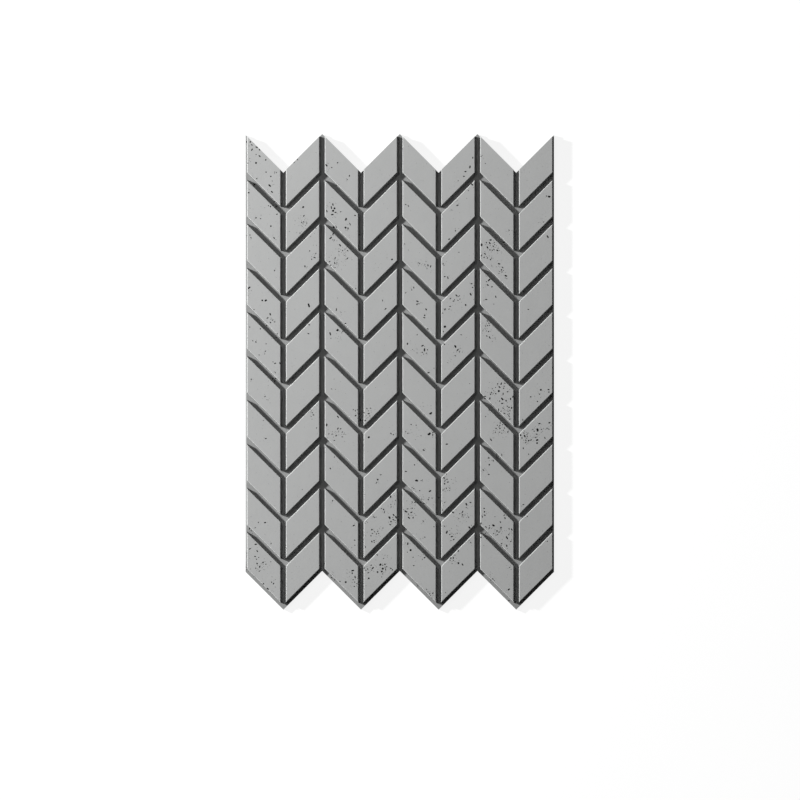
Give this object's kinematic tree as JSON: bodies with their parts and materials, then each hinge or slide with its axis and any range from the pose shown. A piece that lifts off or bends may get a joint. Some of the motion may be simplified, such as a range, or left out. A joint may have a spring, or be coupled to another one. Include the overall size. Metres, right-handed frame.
{
  "type": "concrete cladding panel",
  "caption": "Flat cast concrete wall cladding panel with a raised chevron relief of slanted tiles between drafted grooves, and toothed upper and lower edges.",
  "frame": {"origin": "on the back face, at the middle of the outline's box", "axes": "+Z out of the panel's face, +Y up along the chevron columns, +X across the columns, to the right as seen from the front"},
  "size_m": [0.596, 0.9194, 0.022],
  "materials": {
    "concrete": "matte"
  },
  "bodies": {
    "root": {"panel": "concrete"}
  },
  "joints": []
}
